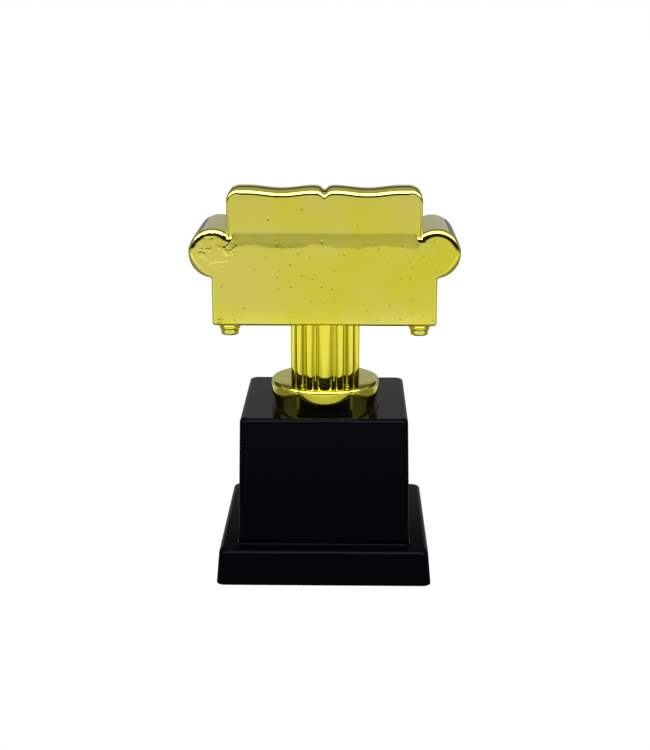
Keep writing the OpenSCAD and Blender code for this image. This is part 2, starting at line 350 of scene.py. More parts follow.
# %% [markdown]
# ## Bright gold plating
# The figure is moulded plastic with a thin mirror of metal under yellow lacquer. A yellow
# plastic would look painted, so it is a metal shader with a greenish yellow colour and
# hardly any roughness, and the studio does the rest. What makes it look
# real is that the mirror isn't perfect: the lacquer is deeper in some places than in
# others, the moulding under it is slightly wavy, dust has left small pits, and the flat
# parts shrank into ripples where the moulding is thick.

# %% Plated gold
GOLD_DEEP, GOLD_PALE = (0.74, 0.685, 0.055, 1.0), (0.76, 0.685, 0.125, 1.0)


def gold_material(name, wave, relief=None, band=None):
    """Plated gold. `wave` is the height of its gentle waviness in millimetres. `relief`
    may return a height in millimetres, made of Values, for the marks of one moulding, and
    `band` a height and a mask of where that height is used."""
    material, s = new_material(name)
    place = s.place()
    slow = s.noise(place, 70.0, 1.0, 0.4)
    normal = s.bump(slow, 1.0, wave * MM)
    if band:
        height, mask = band(s, place)
        leaning = s.bump(height, 1.0, MM, normal)
        normal = s.node("ShaderNodeMix", {"data_type": "VECTOR"}, {
            "Factor": mask, 4: normal, 5: leaning}, out=1)
    if relief:
        normal = s.bump(relief(s, place), 1.0, MM, normal)
    smear = s.noise(place, 160.0, 4.0, 0.6)
    lacquer = s.noise(place, 26.0, 2.0, 0.5) * 0.8 + smear * 0.2
    colour = mixed(s, lacquer.between(0.38, 0.60), GOLD_DEEP, GOLD_PALE)
    shine = s.node("ShaderNodeBsdfPrincipled", None, {
        "Base Color": colour, "Metallic": 1.0, "Roughness": smear * 0.05 + 0.04,
        "Normal": normal})
    s.finish(shine)
    return material


gold = gold_material("gold_plating", 0.05)
print("made", gold.name)


# %% [markdown]
# ### The marks of the rear panel
# The rear panel is a big flat moulding, and big flat mouldings show how they were made.
# Under its crease lies a band that leans back a little, so it mirrors a darker stretch of
# the table. The plastic gathered into puckers on the two rolls and along the band. Here and
# there is a pit, and near one lower corner the ring of a pin that pushed the moulding out
# of its mould. These could be sculpted, but they are only some hundredths of a millimetre
# high, so a bump made of formulas holds them better than a mesh.

# %% Band, pits, puckers and ring
SOFA_BOTTOM = box_mm("fluted_column")[1][2]
RIPPLE_Z = SOFA_BOTTOM + 25.8
BAND_SLOPE = -0.040
PIT_DEPTH, RING_DEPTH = 0.035, 0.04


def axes_mm(s, place):
    """X and Z in millimetres, Z counted from the middle of the rolls."""
    x, y, z = [axis * 1000.0 for axis in s.axes(place)]
    return x, z - RIPPLE_Z


def leaning_band(s, place):
    """The band under the crease: its height falls with z, above an uneven line."""
    x, z = axes_mm(s, place)
    uneven = s.noise(place, 130.0, 4.0, 0.65) * 3.4 - 1.7
    start = uneven + s.node("ShaderNodeMath", {"operation": "SINE"}, [x * 0.31 + 1.0]) * 0.5
    flat = 1.0 - x.math("ABSOLUTE").between(29.5, 31.5)
    return z * BAND_SLOPE, (z - start).between(-0.25, 0.25) * flat


def pits(s, place, share):
    """Small hollows in a share of the cells of a Voronoi pattern, as 0 to 1."""
    x, y, z = s.axes(place)
    flat = s.node("ShaderNodeCombineXYZ", None, [x, z, 0.0])
    cells = s.node("ShaderNodeTexVoronoi", {"voronoi_dimensions": "2D"}, {
        "Vector": flat, "Scale": 280.0})
    chance = s.axes(Value(s, cells.socket.node.outputs["Color"]))
    size = chance[1] * 0.09 + 0.05
    return (1.0 - (cells / size).between(0.45, 1.0)) * chance[0].math("LESS_THAN", share)


def rear_relief(s, place):
    """The moulding marks of the sofa's rear, as a height in millimetres: puckers on the two
    rolls and along the band, pits, and one small ring where the moulding was pushed out."""
    x, z = axes_mm(s, place)
    folds = s.noise(place, 290.0, 1.6, 0.5, 1.4)
    left = 1.0 - ((x - 35.0) ** 2 + z ** 2).math("SQRT").between(3.5, 9.5)
    right = 1.0 - ((x + 34.0) ** 2 + (z + 2.0) ** 2).math("SQRT").between(2.0, 7.0)
    along = 1.0 - (z + 1.0).math("ABSOLUTE").between(0.4, 2.6)
    gather = s.noise(place, 45.0, 1.0, 0.5).between(0.42, 0.62)
    pucker = folds * (left * 0.18 + right * 0.08 + along * gather * 0.06)
    reach = ((x - 34.0) ** 2 + (z + RIPPLE_Z - SOFA_BOTTOM - 1.7) ** 2).math("SQRT")
    ring = 1.0 - (reach - 0.65).math("ABSOLUTE").between(0.05, 0.28)
    return pucker - pits(s, place, 0.3) * PIT_DEPTH - ring * RING_DEPTH


def back_relief(s, place):
    """The raised back has a few pits only."""
    return pits(s, place, 0.05) * -PIT_DEPTH


gold_rear = gold_material("gold_plating_rear", 0.05, rear_relief, leaning_band)
gold_back = gold_material("gold_plating_back", 0.05, back_relief)
print("made", gold_rear.name, "and", gold_back.name)


# %% [markdown]
# ## The plinth's black plastic
# The plinth is glossy black plastic. With an ordinary index of refraction it would mirror
# the bright table and look grey. A low index keeps the mirror weak from in front and lets
# it grow at a shallow angle, where the plinth's top shows the foot upside down. A faint
# haze in the roughness and the bump keeps the surface from looking computed.

# %% Black gloss
def black_material():
    """Near-black plastic with a weak, slightly uneven mirror."""
    material, s = new_material("black_gloss")
    place = s.place()
    haze = s.noise(place, 90.0, 4.0, 0.6)
    shine = s.node("ShaderNodeBsdfPrincipled", None, {
        "Base Color": (0.0008, 0.0008, 0.001, 1.0), "Roughness": haze * 0.05 + 0.04,
        "IOR": 1.115, "Normal": s.bump(haze, 1.0, 0.02 * MM)})
    s.finish(shine)
    return material


black = black_material()
print("made", black.name)


# %% [markdown]
# ## The plinth
# The plinth is one hollow moulding: a tall block on a low step, each leaning in towards
# its top so that it leaves the mould, with rounded edges and corners. Two bevelled cubes
# would come close, but they would leave a joint between them and no inside. Here one
# closed profile, down the outside and up the inside, is carried round a square with round
# corners, as a lathe carries one round a circle.

# %% A profile carried round a square with round corners
def square_ring(half, corner, count=10):
    """Points round a square with round corners, anticlockwise, `count` to each corner and
    to each side, the first and the last of a side right beside its corners."""
    side = half - corner
    path = []
    for k in range(4):
        turn = math.radians(90.0 * k)
        spin = np.array([[math.cos(turn), math.sin(turn)], [-math.sin(turn), math.cos(turn)]])
        bend = arc((side, side), corner, 0.0, 90.0, count)
        share = np.concatenate([[0.003], np.linspace(0.1, 0.9, count - 4), [0.997]])
        edge = np.array([side, half]) - share[:, None] * [2.0 * side, 0.0]
        path.append(np.concatenate([bend, edge]) @ spin)
    return np.concatenate(path)


def lathe_square(profile, corners):
    """A sheet that carries a closed (half width, height) profile round a square."""
    rings = []
    for (half, height), corner in zip(profile, corners):
        ring = square_ring(half, corner)
        rings.append(np.column_stack([ring, np.full(len(ring), height)]))
    return sheet(np.stack(rings), close_rows=True, close_cols=True)


def guarded(profile, gap=0.15):
    """A closed profile with a point added near both ends of every long straight run."""
    out = []
    for here, there in zip(profile, np.roll(profile, -1, 0)):
        run = np.linalg.norm(there - here)
        out.append([here])
        if run > 4.0 * gap:
            step = (there - here) * gap / run
            out.append([here + step, there - step])
    return np.concatenate(out)


def round_edge(half, height, radius, start, stop, count=9):
    """Points of a profile round an edge whose outer corner would be at (half, height)."""
    return arc((half - radius, height - radius), radius, start, stop, count)


print("a ring round the square has", len(square_ring(10.0, 2.0)), "points")


# %% Plinth moulding
base_low, base_high = box_mm("base_shell")
BASE_TOP = base_high[2]
STEP_TOP = 12.0
STEP_HALF, BLOCK_HALF = 35.0, 28.1
LEAN = 0.85
EDGE = 1.4
WALL = 2.2
RIM = 0.5
ROD_HOLE = 3.1

outer = chain(
    arc((STEP_HALF - RIM, base_low[2] + RIM), RIM, -90.0, 0.0, 5),
    np.array([[STEP_HALF, base_low[2] + RIM], [STEP_HALF - LEAN, STEP_TOP - EDGE]]),
    round_edge(STEP_HALF - LEAN, STEP_TOP, EDGE, 0.0, 90.0),
    np.array([[STEP_HALF - LEAN - EDGE, STEP_TOP], [BLOCK_HALF + 0.3, STEP_TOP],
              [BLOCK_HALF, STEP_TOP + 0.3], [BLOCK_HALF - LEAN, BASE_TOP - EDGE]]),
    round_edge(BLOCK_HALF - LEAN, BASE_TOP, EDGE, 0.0, 90.0),
    np.array([[BLOCK_HALF - LEAN - EDGE, BASE_TOP], [BLOCK_HALF - LEAN - EDGE - 0.3, BASE_TOP],
              [ROD_HOLE, BASE_TOP], [ROD_HOLE, BASE_TOP - WALL]]))
inner = np.array([[BLOCK_HALF - WALL - LEAN, BASE_TOP - WALL],
                  [BLOCK_HALF - WALL, STEP_TOP - WALL],
                  [STEP_HALF - WALL - LEAN, STEP_TOP - WALL],
                  [STEP_HALF - WALL, base_low[2]]])
profile = guarded(np.concatenate([outer, inner]))
BLOCK_CORNER, STEP_CORNER = 2.0, 2.4
corner_of = np.where(profile[:, 1] > STEP_TOP - 0.01, BLOCK_CORNER, STEP_CORNER)
corner_of = np.minimum(corner_of, profile[:, 0] * 0.999)
make_piece("plinth", [lathe_square(profile, corner_of)], "base", black,
           ["base_shell"], sharp=50)


# %% [markdown]
# ## The petalled foot
# The figure stands on a round foot with six petals, whose lips hang over an upright wall.
# It could be cut from a disc with boolean scallops, but those leave ragged edges on a
# mirror finish. Instead it is a surface of two parameters: the turn about the axis and the
# way along the section. One function of the turn says how much of a petal there is, and it
# lifts or lowers the lip and the rim of every section.

# %% Petals
foot_low, foot_high = box_mm("foot_rosette")
col_low, col_high = box_mm("fluted_column")
FOOT_Z, COLUMN_Z, SOFA_Z = foot_low[2], col_low[2], col_high[2]
FOOT_R = 18.3
PETALS = 6
RIM_EDGE = 1.2
WALL_R = 17.65
TURNS = 360


def petal_surface():
    """A closed sheet swept round the axis.

    w is 1 in a petal's middle and 0 between petals: |sin(3a)| to a power below 1, so that
    the petals are full and meet in a crease. The lip hangs lower and the rim stands
    prouder where w is large. Below the lip the wall is set back.
    """
    turn = np.linspace(0.0, 2.0 * np.pi, TURNS, endpoint=False)
    w = np.abs(np.sin(PETALS / 2 * turn)) ** 0.75
    one = np.ones(TURNS)
    lip = FOOT_Z + 4.9 - 2.6 * w
    top = COLUMN_Z - 0.35 * one
    rim = FOOT_R - 0.3 + 0.5 * w
    stations = [
        (3.2 * one, FOOT_Z * one), (WALL_R * one, FOOT_Z * one),
        (WALL_R * one, FOOT_Z + 0.1 * one), (WALL_R + 0.02 * (lip - 0.3 - FOOT_Z), lip - 0.3),
        (WALL_R + 0.02 * (lip - 0.12 - FOOT_Z), lip - 0.12),
        (rim - 0.22, lip - 0.05), (rim - 0.07, lip), (rim - 0.0, lip + 0.12),
        (rim + 0.02, lip + 0.4), (rim, top - RIM_EDGE - 0.2)]
    for a in np.radians(np.linspace(0.0, 90.0, 13)):
        stations.append((rim - RIM_EDGE * (1 - np.cos(a)), top - RIM_EDGE * (1 - np.sin(a))))
    stations += [(rim - 2.0, top - 0.02 + 0.10 * w), (rim - 3.5, top + 0.02 + 0.12 * w),
                 (12.5 * one, COLUMN_Z - 0.24 + 0.08 * w), (9.0 * one, COLUMN_Z - 0.2 * one),
                 (3.2 * one, COLUMN_Z - 0.2 * one)]
    rows = [np.stack([r * np.cos(turn), r * np.sin(turn), z], -1) for r, z in stations]
    return sheet(np.stack(rows), close_rows=True, close_cols=True)


make_piece("petal_foot", [petal_surface()], "figure", gold,
           ["foot_rosette"], sharp=35)


# %% [markdown]
# ## The fluted column
# The column is straight, with deep flutes all round and a wider flute at the middle of the
# front and of the rear. It has the same section all the way up, so only the outline
# matters: half ellipses set side by side round a circle, with a narrow land between them.
# The outline is drawn once and carried up, and a bore of the same point count closes it on
# the inside.

# %% Flutes
COLUMN_R = 11.6
FLUTE_DEPTH = 2.3
LAND = 0.3
WIDE_FLUTE, FLUTE_STEP = 30.6, 23.0
FLUTE_POINTS = 25
COLUMN_BORE = 7.8


def flute(middle, span):
    """A half ellipse sunk into the column, from one side of the flute to the other.

    Its walls are upright where they meet the column's surface, so that light is passed
    from wall to wall there and comes back deeper in colour.
    """
    half = math.radians(span / 2)
    reach = COLUMN_R * math.sin(half) - LAND / 2
    chord = COLUMN_R * math.cos(half)
    depth = FLUTE_DEPTH - COLUMN_R + chord
    t = np.radians(np.linspace(-90.0, 90.0, FLUTE_POINTS))
    out, across = chord - depth * np.cos(t), reach * np.sin(t)
    turn = math.radians(middle)
    return np.stack([out * math.cos(turn) - across * math.sin(turn),
                     out * math.sin(turn) + across * math.cos(turn)], 1)


# %% Column
def column_outline():
    """Flutes all round the column, the widest at the middle of the front and the back."""
    middles = [(k, math.copysign(WIDE_FLUTE / 2 + (abs(k) - 0.5) * FLUTE_STEP, k) if k else 0.0)
               for k in range(-3, 4)]
    flutes = [flute(side + middle, FLUTE_STEP if k else WIDE_FLUTE)
              for side in (-90.0, 90.0) for k, middle in middles]
    return np.concatenate(flutes)


def column_sheets():
    """The outline carried straight up, from just inside the foot, and a bore inside it."""
    around = column_outline()
    hole = around / np.linalg.norm(around, axis=1)[:, None] * COLUMN_BORE
    sunk = COLUMN_Z - 0.25
    rings = [(hole, sunk), (around, sunk), (around, SOFA_Z), (hole, SOFA_Z)]
    rows = [np.column_stack([ring, np.full(len(ring), z)]) for ring, z in rings]
    return [sheet(np.stack(rows), close_rows=True, close_cols=True)]


make_piece("column", column_sheets(), "figure", gold, ["fluted_column"], sharp=25)


# %% [markdown]
# ## The sofa's rear panel
# The rear of the sofa is one flat moulding with the whole outline of the sofa: straight
# sides, a small neck, a roll at each end, and a level crease between them from which the
# back rises. On the rolls its edge is rounded widely and mirrors the softbox as one bright
# line over a black one. At the crease it isn't rounded at all. That change is why the
# plates above take a radius for every point of the outline.

# %% Measures of the sofa
sofa_low, sofa_high = box_mm("sofa_back_cover")
SOFA_TOP, REAR_Y = box_mm("sofa_body")[1][2], sofa_high[1]
FRONT_Y = box_mm("sofa_body")[0][1]
ROLL_R = 7.85
ROLL_X = sofa_high[0] - ROLL_R
ROLL_Z = SOFA_Z + 23.65
SIDE_X = 36.3
CREASE_Z = SOFA_Z + 30.2
PLATE_Y = REAR_Y - 3.0
BACK_Y = REAR_Y - 0.4
BODY_CORNER = 1.1
NECK = 0.8
ROLL_EDGE, DIP_EDGE = (3.4, 1.5, 25.0), (5.0, 1.2, 25.0)
BODY_EDGE, CREASE_EDGE = (0.9, 0.9, 25.0), (0.03, 0.03, 25.0)
DIP_WIDTH = 1.6


def outer_side():
    """The left outline from the roll's side, down the neck and the body to the bottom.

    The neck is a small arc that touches the roll from outside and the body's side. Returns
    the points, and the radius to which the edge is rounded at each.
    """
    reach = SIDE_X + NECK - ROLL_X
    neck_z = ROLL_Z - math.sqrt((ROLL_R + NECK) ** 2 - reach ** 2)
    swing = math.degrees(math.atan2(neck_z - ROLL_Z, -reach))
    points = chain(
        arc((-ROLL_X, ROLL_Z), ROLL_R, 180.0, 360.0 + swing, 30),
        arc((-SIDE_X - NECK, neck_z), NECK, 180.0 + swing, 0.0, 7),
        np.linspace((-SIDE_X, neck_z), (-SIDE_X, SOFA_Z + BODY_CORNER), 14),
        arc((-SIDE_X + BODY_CORNER, SOFA_Z + BODY_CORNER), BODY_CORNER, 180.0, 270.0, 9))
    edges = chain(fade(ROLL_EDGE, ROLL_EDGE, 16), fade(ROLL_EDGE, BODY_EDGE, 15),
                  fade(BODY_EDGE, BODY_EDGE, 28))
    return points, edges


print("one side of the sofa's outline:", len(outer_side()[0]), "points")


# %% Outline of the rear panel
def rear_outline():
    """Lower and upper path of the rear panel with the edge radius at each point.

    The upper path runs over the roll, dips to meet the raised back, and eases up to the
    crease, a straight line across the back.
    """
    side, side_edge = outer_side()
    floor = np.linspace((-SIDE_X + BODY_CORNER, SOFA_Z), (0.0, SOFA_Z), 30)
    low, low_edge = chain(side, floor), chain(side_edge, fade(BODY_EDGE, BODY_EDGE, 30))
    roll = arc((-ROLL_X, ROLL_Z), ROLL_R, 180.0, 47.0, 46)
    step = np.linspace(0.0, 1.0, 12)
    dip = roll[-1] + np.stack([DIP_WIDTH * step, (CREASE_Z - roll[-1, 1]) * ease(step)], 1)
    crease = np.linspace(dip[-1], (0.0, CREASE_Z), len(low) - 56)
    high = chain(roll, dip, crease)
    high_edge = chain(fade(ROLL_EDGE, ROLL_EDGE, 34), fade(ROLL_EDGE, DIP_EDGE, 20),
                      fade(DIP_EDGE, CREASE_EDGE, 5), fade(CREASE_EDGE, CREASE_EDGE, len(crease)))
    return [both_halves(path) for path in (low, high)] + \
        [both_halves(edge, 1.0) for edge in (low_edge, high_edge)] + [roll[-1]]


def rear_inward(loop, dip_start):
    """The outline's own normals, but from the start of the dip the direction swings evenly
    to straight down, so that the rings of the wide edge don't cross each other there."""
    into = inward(loop)
    reach, top = np.abs(loop[:, 0]), loop[:, 1] > dip_start[1] - 0.01
    share = np.clip((-dip_start[0] - reach) / DIP_WIDTH, 0.0, 1.0)[:, None]
    to_roll = np.array([ROLL_X, ROLL_Z]) - np.abs(dip_start)
    start = np.stack([np.sign(loop[:, 0]), np.ones(len(loop))], 1) * to_roll / ROLL_R
    swing = start * (1.0 - share) + np.array([0.0, -1.0]) * share
    swing /= np.linalg.norm(swing, axis=1)[:, None]
    return np.where((top & (reach < -dip_start[0] + 0.01))[:, None], swing, into)


# %% Rear panel
low, high, low_edge, high_edge, dip_start = rear_outline()
into = rear_inward(around(low, high), dip_start)
rear = plate(low, high, PLATE_Y, REAR_Y, 0.12, around(low_edge, high_edge), into=into)
make_piece("rear_panel", rear, "figure", gold_rear, ["sofa_back_cover"])


# %% [markdown]
# ## The raised back
# The back rises from the crease with upright sides and round upper corners. Its top edge
# sags twice and dips into a notch at the middle, where the real sofa's two back cushions
# meet. The edge is rounded much further down the wall than across the face, so it takes two
# radii. The rings along the top move straight down and not along the outline's normals,
# which would cross each other in the notch.

# %% Outline of the raised back
BACK_X = 31.25
BACK_CORNER = 4.5
BACK_FRONT = REAR_Y - 10.0
TOP_EDGE, UPRIGHT_EDGE = (1.85, 4.3, 45.0), (0.6, 0.6, 45.0)
HIDDEN_EDGE = (0.3, 0.3, 45.0)
NOTCH_DEPTH, NOTCH_WIDTH = 1.4, 1.5
SAG = 0.85
NOTCH_END, CREST = 2.9, 24.6


def back_top(x):
    """Height of the raised back's top edge: level, less one sag of a cosine between the
    notch and each crest, less the notch, which falls off as 1 / (1 + (x / w)^2)^2."""
    a = np.abs(x)
    along = np.clip((a - NOTCH_END) / (CREST - NOTCH_END), 0.0, 1.0)
    notch = NOTCH_DEPTH / (1.0 + (a / NOTCH_WIDTH) ** 2) ** 2
    return SOFA_TOP - SAG * (1.0 - np.cos(2.0 * np.pi * along)) / 2.0 - notch


def back_outline():
    """Lower and upper path of the raised back, edge radii, and inward directions. Along
    the top the rings move straight down, so that the notch keeps its shape on the face."""
    middle, foot = ROLL_Z, SOFA_Z + 9.0
    straight = BACK_X - BACK_CORNER
    corner = arc((-straight, SOFA_TOP - BACK_CORNER), BACK_CORNER, 180.0, 90.0, 14)
    rise = np.linspace((-BACK_X, middle), (-BACK_X, SOFA_TOP - BACK_CORNER), 22)
    x = -straight * (1.0 - np.linspace(0.0, 1.0, 70))
    high = chain(rise, corner, np.stack([x, back_top(x)], 1))
    high_edge = chain(fade(UPRIGHT_EDGE, UPRIGHT_EDGE, 22), fade(UPRIGHT_EDGE, TOP_EDGE, 14),
                      fade(TOP_EDGE, TOP_EDGE, 70))
    turn = np.radians(chain(fade(0.0, 0.0, 22), fade(0.0, -90.0, 14), fade(-90.0, -90.0, 70)))
    high_into = np.stack([np.cos(turn), np.sin(turn)], 1)
    drop = np.linspace((-BACK_X, middle), (-BACK_X, foot), 22)
    floor = np.linspace((-BACK_X, foot), (0.0, foot), len(high) - 21)
    low = chain(drop, floor)
    low_edge = chain(fade(UPRIGHT_EDGE, HIDDEN_EDGE, 22),
                     fade(HIDDEN_EDGE, HIDDEN_EDGE, len(low) - 21))
    low_into = np.where((np.arange(len(low)) < 21)[:, None], [[1.0, 0.0]], [[0.0, 1.0]])
    return [both_halves(path) for path in (low, high)] + \
        [both_halves(edge, 1.0) for edge in (low_edge, high_edge)] + \
        [both_halves(path) for path in (low_into, high_into)]


# %% Raised back
low, high, low_edge, high_edge, low_into, high_into = back_outline()
edges, into = around(low_edge, high_edge), around(low_into, high_into)
back = plate(low, high, BACK_FRONT, BACK_Y, edges, edges, np.linspace(0.0, 1.0, 25), into)
make_piece("raised_back", back, "figure", gold_back, ["sofa_body"])


# %% [markdown]
# ## The arms
# Each arm is a roll on top of an upright panel, with the same outline as the rear panel's
# end, so it starts from the same side path. It is a plate that runs the whole depth of the
# sofa. One arm is worked out, and its mirror image makes the other. A mirror turns the
# faces inside out, which is why make_piece works the normals out again for every piece.

# %% Arms
ARM_IN = 29.0
ARM_EDGE = 1.0


def arm_outline():
    """Lower and upper path of the left arm: the roll and the panel below it."""
    side, side_edge = outer_side()
    reach = math.degrees(math.acos((ROLL_X - ARM_IN) / ROLL_R))
    roll = arc((-ROLL_X, ROLL_Z), ROLL_R, 180.0, -reach, 60)
    panel = np.linspace(roll[-1], (-ARM_IN, SOFA_Z), 20)
    high = chain(roll, panel)
    low = chain(side, np.linspace(side[-1], (-ARM_IN, SOFA_Z), len(high) - len(side) + 1))
    return low, high


def flip_x(sheets):
    """The same sheets on the other side of the sofa."""
    return [(points * [-1.0, 1.0, 1.0], faces) for points, faces in sheets]


low, high = arm_outline()
arm = plate(low, high, FRONT_Y, PLATE_Y, ARM_EDGE, 0.12, np.linspace(0.0, 1.0, 9))
for side, sheets in (("left", arm), ("right", flip_x(arm))):
    make_piece(f"arm_{side}", sheets, "figure", gold, ["sofa_body"])


# %% [markdown]
# ## Cushions
# Two seat cushions and two back cushions fill the sofa. On a trophy they are hard plated
# mouldings, so there is no cloth to simulate, but the moulding copies stuffed ones: round
# edges, faces that swell, and a bead of piping round each seat cushion. A subdivided cube
# would lose its measures as it is smoothed. Moving every point of a box by a formula keeps
# the flat parts where they belong.

# %% Soft boxes
def soft_box(low, high, radius, crown, count=26):
    """Sheets of a box whose edges are round and whose faces swell.

    A point p of the plain box is moved to c + r * (p - c) / |p - c|, where c is the nearest
    point of a box that is smaller by r all round. Each face then swells outwards by
    crown * (1 - u^2) * (1 - v^2), with u and v from -1 to 1 across it.
    """
    low, high = np.array(low, float), np.array(high, float)
    middle, half = (low + high) / 2.0, (high - low) / 2.0
    t = np.sin(np.linspace(-0.5, 0.5, count) * np.pi)
    u, v = np.meshgrid(t, t, indexing="ij")
    sheets = []
    for axis in range(3):
        for sign in (-1.0, 1.0):
            cube = np.stack(np.roll([np.full_like(u, sign), u, v], axis, axis=0), -1)
            p = middle + half * cube
            c = np.clip(p, low + radius, high - radius)
            away = p - c
            p = c + radius * away / np.linalg.norm(away, axis=-1, keepdims=True)
            p[..., axis] += sign * crown[axis] * (1.0 - u * u) * (1.0 - v * v)
            sheets.append(sheet(p))
    return sheets


# %% Piping
def bead(path, radius, up=(0.0, 0.0, 1.0), count=10):
    """A closed round bead along a closed path: rings in the plane across each tangent."""
    tangent = np.roll(path, -1, 0) - np.roll(path, 1, 0)
    tangent /= np.linalg.norm(tangent, axis=1)[:, None]
    side = np.cross(tangent, up)
    turn = np.linspace(0.0, 2.0 * np.pi, count, endpoint=False)
    ring = side[:, None] * np.cos(turn)[:, None] + np.array(up) * np.sin(turn)[:, None]
    return sheet(path[:, None] + radius * ring, close_rows=True, close_cols=True)


def plan_ring(low, high, corner, z):
    """A closed path round a rectangle with round corners, at one height."""
    path = []
    for k, (sx, sy) in enumerate(((1, 1), (0, 1), (0, 0), (1, 0))):
        centre = (low[0] + corner + sx * (high[0] - low[0] - 2 * corner),
                  low[1] + corner + sy * (high[1] - low[1] - 2 * corner))
        path.append(arc(centre, corner, 90.0 * k, 90.0 * k + 90.0, 8))
    flat = np.concatenate(path)
    return np.column_stack([flat, np.full(len(flat), z)])


# %% Four cushions
CUSHION_EDGE, SWELL, BACK_SWELL = 2.0, 0.5, 0.8
PIPING = 0.38
for side in ("left", "right"):
    low, high = box_mm(f"seat_cushion_{side}")
    sheets = soft_box(low, high - [0, 0, SWELL], CUSHION_EDGE, (0.0, 0.0, SWELL))
    for z in (low[2] + 1.6, high[2] - 2.0):
        sheets.append(bead(plan_ring(low, high, CUSHION_EDGE, z), PIPING))
    make_piece(f"cushion_seat_{side}", sheets, "figure", gold,
               [f"seat_cushion_{side}"])
    low, high = box_mm(f"back_cushion_{side}")
    sheets = soft_box(low + [0, BACK_SWELL, 0], high, CUSHION_EDGE, (0.0, BACK_SWELL, 0.0))
    make_piece(f"cushion_back_{side}", sheets, "figure", gold,
               [f"back_cushion_{side}"])

# %% [markdown]
# ## The seat box
# Under the seat cushions a plain box joins the arms and shows as the rail at the front. It
# is a soft box too, with a small radius and no swelling, and its ends run on into the arms.

# %% Seat box
seat_low = (-ARM_IN - 1.0, FRONT_Y + 1.5, SOFA_Z)
seat_high = (ARM_IN + 1.0, PLATE_Y + 0.5, box_mm("seat_cushion_left")[0][2])
make_piece("seat_box", soft_box(seat_low, seat_high, 0.8, (0, 0, 0)), "figure",
           gold, ["sofa_body"])


# %% [markdown]
# ## The sofa's feet
# Four little feet stick out under the sofa, each two round discs with a groove between
# them. They are small, but they show against the bright background, so each is a turned
# profile with its edges rounded, and not a plain cylinder.

# %% Sofa feet
def turned(profile, centre, count=48):
    """A (radius, height) profile turned round an upright axis, closed at its two ends."""
    turn = np.linspace(0.0, 2.0 * np.pi, count, endpoint=False)
    r, z = profile.T
    points = np.stack([centre[0] + r[:, None] * np.cos(turn),
                       centre[1] + r[:, None] * np.sin(turn),
                       np.broadcast_to(z[:, None], (len(z), count))], -1)
    return sheet(points, close_cols=True)


DISC, FOOT_SOLE, GROOVE = 3.5, 2.95, 2.75
for place in ("front_foot_left", "front_foot_right", "rear_foot_left", "rear_foot_right"):
    low, high = box_mm(place)
    x, y = (low[:2] + high[:2]) / 2.0
    top, sole = SOFA_Z, low[2]
    profile = np.concatenate([
        [[0.0, top + 0.3], [DISC - 0.15, top + 0.3], [DISC - 0.15, top]],
        arc((DISC - 0.5, top - 0.6), 0.5, 45.0, 0.0, 5),
        arc((DISC - 0.5, top - 1.1), 0.5, 0.0, -90.0, 7),
        [[GROOVE, top - 1.65], [GROOVE, top - 1.8]],
        arc((FOOT_SOLE - 0.4, top - 2.2), 0.4, 90.0, 0.0, 6),
        arc((FOOT_SOLE - 0.6, sole + 0.6), 0.6, 0.0, -90.0, 7), [[0.0, sole]]])
    make_piece(f"bun_{place}", [turned(profile, (x, y))], "figure", gold,
               [place])


# %% [markdown]
# ## Hidden metal and board
# The rod with its nuts and washers, the ballast, the cover and the foam pad are the packed
# model's own meshes, because their shapes are right as they are. They only need finishes,
# which go into their material slots: zinc plate and cast iron with a fine grain, board
# with fibres of two browns, and foam so matt that it is nearly all diffuse.

# %% Hidden finishes
def plain_metal(name, colour, roughness, grain):
    """A grey metal whose roughness and bump follow one fine noise."""
    material, s = new_material(name)
    noise = s.noise(s.place(), grain, 4.0, 0.6)
    shine = s.node("ShaderNodeBsdfPrincipled", None, {
        "Base Color": (*colour, 1.0), "Metallic": 1.0,
        "Roughness": noise * 0.2 + (roughness - 0.1), "Normal": s.bump(noise, 1.0, 0.02 * MM)})
    s.finish(shine)
    return material


def matt(name, dark, light, grain, relief):
    """A rough finish of two tones, with a relief in millimetres."""
    material, s = new_material(name)
    noise = s.noise(s.place(), grain, 5.0, 0.65)
    colour = mixed(s, noise.between(0.3, 0.7), (*dark, 1.0), (*light, 1.0))
    shine = s.node("ShaderNodeBsdfPrincipled", None, {
        "Base Color": colour, "Roughness": noise * 0.1 + 0.8,
        "Normal": s.bump(noise, 1.0, relief * MM)})
    s.finish(shine)
    return material


zinc = plain_metal("zinc_plate", (0.55, 0.56, 0.58), 0.3, 900.0)
iron = plain_metal("cast_iron", (0.09, 0.09, 0.09), 0.6, 500.0)
board = matt("fibreboard", (0.10, 0.065, 0.035), (0.19, 0.13, 0.07), 1500.0, 0.05)
foam = matt("foam_sheet", (0.012, 0.013, 0.013), (0.035, 0.036, 0.035), 3000.0, 0.12)
for nodes, material in ((("tie_rod", "base_washer", "spring_washer", "base_nut",
                          "captive_nut"), zinc),
                        (("ballast_block",), iron), (("bottom_cover",), board),
                        (("foam_pad",), foam)):
    for node in nodes:
        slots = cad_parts[node].data.materials
        slots.clear()
        slots.append(material)
    print(material.name, "on", ", ".join(nodes))


# %% [markdown]
# ## The studio
# A mirror finish shows nothing but its surroundings, so here the light is the look. The
# camera stands behind the sofa, a little above it. The floor is a light table that glows
# by how far it lies behind the object: what the rear panel mirrors is the table, and its
# brightness is the panel's. Close behind the object its glow is dimmed, a painted shadow of
# the object on the table that shows only in the mirror finish, since the camera sees the
# floor plain white. The sky is a pattern of strips: one softbox for the thin white
# highlights, black above the horizon for the dark lines beside them, and grey elsewhere.
# Lamps could do this, but a painted floor and sky are exact, and free of noise.

# %% Camera
camera = bpy.data.objects.new("camera", bpy.data.cameras.new("camera"))
bpy.context.scene.collection.objects.link(camera)
bpy.context.scene.camera = camera
camera.location = (-0.00816, 0.47246, 0.18802)
camera.rotation_euler = (math.radians(90.0 - 14.91), 0.0, math.radians(181.0))
camera.data.lens = 69.35
camera.data.clip_start = 0.01
print("camera at", [round(v, 3) for v in camera.location], "m")

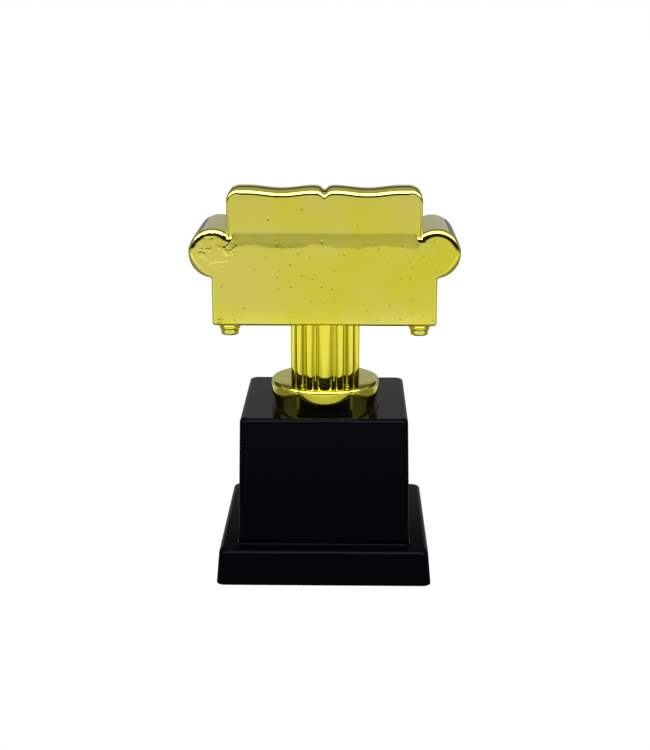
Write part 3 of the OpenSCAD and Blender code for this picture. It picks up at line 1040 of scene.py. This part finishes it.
# %% Floor
FLOOR_HALF = 6.0
floor_mesh = bpy.data.meshes.new("floor")
corners = FLOOR_HALF * np.array([[-1, -1, 0], [1, -1, 0], [1, 1, 0], [-1, 1, 0]], float)
floor_mesh.from_pydata(corners, [], [(0, 1, 2, 3)])
floor = bpy.data.objects.new("floor", floor_mesh)
bpy.context.scene.collection.objects.link(floor)


def floor_material():
    """A floor that glows by its place, the same from every side, and looks white itself.
    Close behind the object the glow is dimmed: a painted shadow of the object on the
    table, seen only in reflections.
    """
    material, s = new_material("light_table")
    x, y, z = s.axes(s.place())
    seen = s.node("ShaderNodeLightPath", out="Is Camera Ray")
    # Painted shadow: right behind the object the glow drops to 0.25 and only rises from 5 to 22 cm
    # away, in place of the object's shade on the table.
    glow = y.between(0.05, 0.22) * 0.45 + y.between(0.21, 0.27) * 0.40 + 0.25
    glow = glow - y.between(0.35, 0.43) * 0.31
    glow = glow - y.between(0.62, 0.80) * 0.03 - y.between(0.85, 1.4) * 0.25
    glow = glow + y.between(-0.36, -0.28) * (1.0 - y.between(-0.16, -0.08)) * 0.5
    glow = glow - y.between(2.5, 4.5) * 0.4
    side = x.math("ABSOLUTE").between(0.5, 1.2)
    glow = glow * (1.0 - side * 0.4)
    glow = glow + (1.02 - glow) * seen
    emission = s.node("ShaderNodeEmission", None, {"Color": (1, 1, 1, 1), "Strength": glow})
    s.finish(emission)
    return material


floor_mesh.materials.append(floor_material())
print("floor:", 2 * FLOOR_HALF, "m square")


# %% World
def build_world():
    """Strips of light by the angle atan2(z, y) about the X axis, in half turns. The softbox
    ends sideways, and what the camera sees directly is plain white."""
    world = bpy.data.worlds.new("studio")
    bpy.context.scene.world = world
    s = Shader(world, "ShaderNodeOutputWorld")
    x, y, z = s.axes(s.node("ShaderNodeTexCoord", out="Generated"))
    angle = s.node("ShaderNodeMath", {"operation": "ARCTAN2"}, [z, y]) / math.pi
    BLACK, DARK, MID, BRIGHT = 0.002, 0.0067, 0.06, (0.667, 0.68, 1.0)
    shades = s.node("ShaderNodeValToRGB", {"stops": [
        (0.0, BLACK), (0.174, BLACK), (0.184, BRIGHT), (0.435, BRIGHT), (0.450, MID),
        (0.70, MID), (0.73, DARK), (0.88, DARK), (0.90, MID), (1.0, MID)]}, [angle])
    level = s.axes(shades)[0]
    reach = x.math("ABSOLUTE") / (y * y + z * z).math("SQRT")
    strength = 7.5 - reach.between(1.0, 1.8) * level.between(0.2, 0.4) * 6.75
    seen = s.node("ShaderNodeLightPath", out="Is Camera Ray")
    strength = strength + (1.0 - strength) * seen
    colour = mixed(s, seen, shades, (1.0, 1.0, 1.0, 1.0))
    sky = s.node("ShaderNodeBackground", None, {"Color": colour, "Strength": strength})
    s.finish(sky)
    return world


print("world:", build_world().name)
bpy.context.scene.view_settings.view_transform = "Standard"
bpy.context.scene.view_settings.look = "None"

# %% [markdown]
# ## The end
# The finished pieces have to fit the packed model's box.
